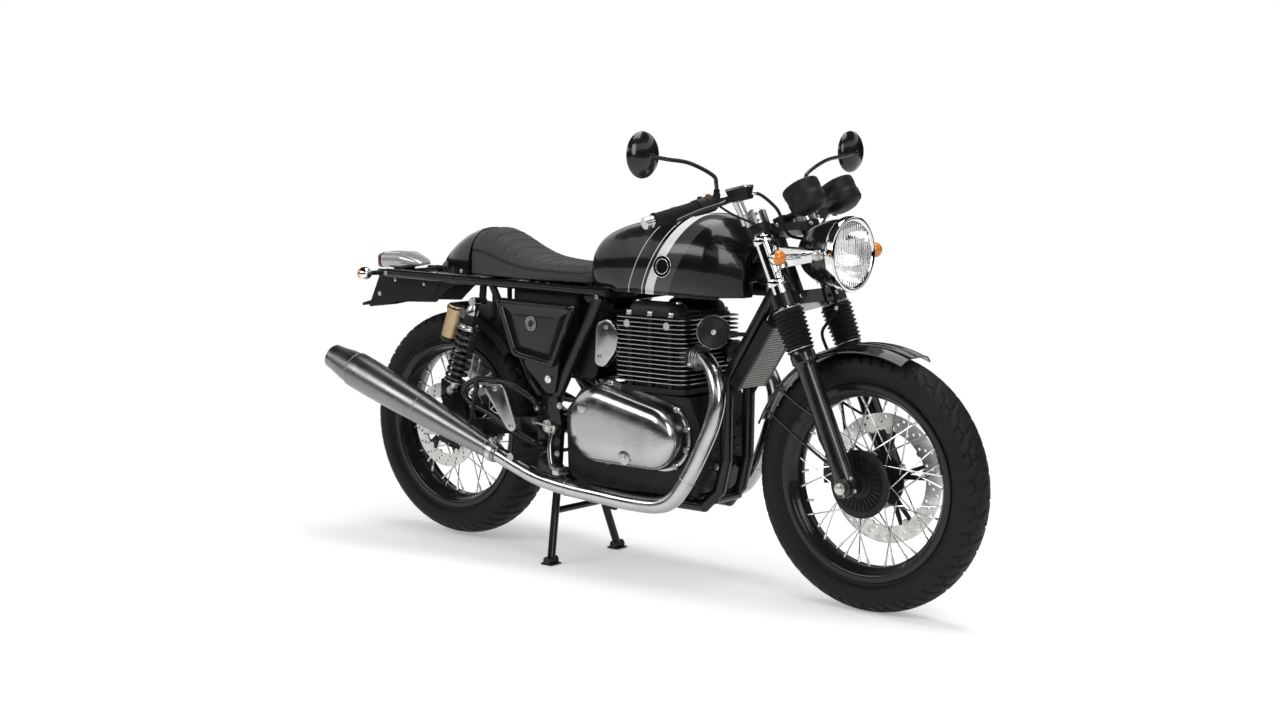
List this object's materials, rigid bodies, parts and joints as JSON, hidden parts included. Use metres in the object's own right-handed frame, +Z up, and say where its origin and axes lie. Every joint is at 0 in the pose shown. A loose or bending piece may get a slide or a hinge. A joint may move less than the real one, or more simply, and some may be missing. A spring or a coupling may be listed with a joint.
{
  "type": "cafe racer motorcycle",
  "caption": "Cafe racer motorcycle: air-cooled parallel twin in a tubular frame, low clip-on bars, humped single seat and upswept silencers, parked on its centre stand.",
  "frame": {"origin": "on the floor, under the centre of the whole machine's bounding box", "axes": "+X forwards along the machine, +Y to the rider's left, +Z up"},
  "size_m": [2.122, 0.96, 1.1579],
  "materials": {
    "black_frame": "satin",
    "gloss_black": "gloss",
    "black_engine": "satin",
    "polished_alloy": "gloss",
    "cast_alloy": "matte",
    "chrome": "gloss",
    "brushed_steel": "brushed",
    "black_plastic": "satin",
    "black_rubber": "matte",
    "tyre": "matte",
    "black_rim": "satin",
    "spring": "gloss",
    "seat_cover": "matte"
  },
  "bodies": {
    "chassis": {"frame_spine": "black_frame", "frame_cradle": "black_frame", "seat_rails": "black_frame", "swingarm": "black_frame", "crankcase": "black_engine", "cylinder_block": "black_engine", "cylinder_head": "black_engine", "clutch_cover": "polished_alloy", "alternator_cover": "polished_alloy", "intake": "cast_alloy", "exhaust_pipes": "chrome", "silencers": "brushed_steel", "fuel_tank": "gloss_black", "seat": "seat_cover", "seat_cowl": "gloss_black", "side_panels": "gloss_black", "oil_cooler": "cast_alloy", "horn": "black_plastic", "tail_lamp": "chrome", "rear_mudguard": "black_plastic", "rear_indicators": "black_plastic", "shock_absorbers": "cast_alloy", "shock_springs": "spring", "drive_chain": "black_frame", "chain_guard": "black_plastic", "footrests": "polished_alloy", "foot_controls": "polished_alloy", "rear_caliper": "black_frame", "rear_axle": "chrome"},
    "steering": {"lower_yoke": "black_frame", "top_yoke": "cast_alloy", "fork_tubes": "chrome", "fork_gaiters": "black_rubber", "fork_sliders": "black_frame", "front_axle": "chrome", "front_mudguard": "gloss_black", "front_caliper": "black_frame", "headlamp": "chrome", "instruments": "black_plastic", "handlebars": "polished_alloy", "grips": "black_rubber", "bar_controls": "black_plastic", "mirrors": "black_plastic", "front_indicators": "chrome", "brake_hose": "black_rubber"},
    "front_wheel_set": {"front_tyre": "tyre", "front_wheel": "black_rim", "front_disc": "brushed_steel"},
    "rear_wheel_set": {"rear_tyre": "tyre", "rear_wheel": "black_rim", "rear_disc": "brushed_steel", "rear_sprocket": "brushed_steel"},
    "parking_stand": {"centre_stand": "black_frame"},
    "prop_leg": {"side_stand": "black_frame"},
    "cap_lid": {"fuel_cap": "chrome"}
  },
  "joints": [
    {"name": "steering_hinge", "type": "hinge", "parent": "chassis", "child": "steering", "pos_m": [0.50432, 0, 0.75992], "axis": [-0.4067, 0, 0.9135], "range_deg": [-34, 34]},
    {"name": "front_wheel_spin", "type": "hinge", "parent": "steering", "child": "front_wheel_set", "pos_m": [0.7424, 0, 0.3186], "axis": [0, 1, 0], "continuous": true},
    {"name": "rear_wheel_spin", "type": "hinge", "parent": "chassis", "child": "rear_wheel_set", "pos_m": [-0.6556, 0, 0.3276], "axis": [0, 1, 0], "continuous": true},
    {"name": "centre_stand_fold", "type": "hinge", "parent": "chassis", "child": "parking_stand", "pos_m": [-0.2216, 0, 0.232], "axis": [0, 1, 0], "range_deg": [0, 75]},
    {"name": "side_stand_fold", "type": "hinge", "parent": "chassis", "child": "prop_leg", "pos_m": [-0.07, 0.116, 0.212], "axis": [0, -0.9063, -0.4226], "range_deg": [0, 96]},
    {"name": "fuel_cap_lid", "type": "hinge", "parent": "chassis", "child": "cap_lid", "pos_m": [0.19, 0, 0.95574], "axis": [0, 1, 0], "range_deg": [0, 80]}
  ]
}
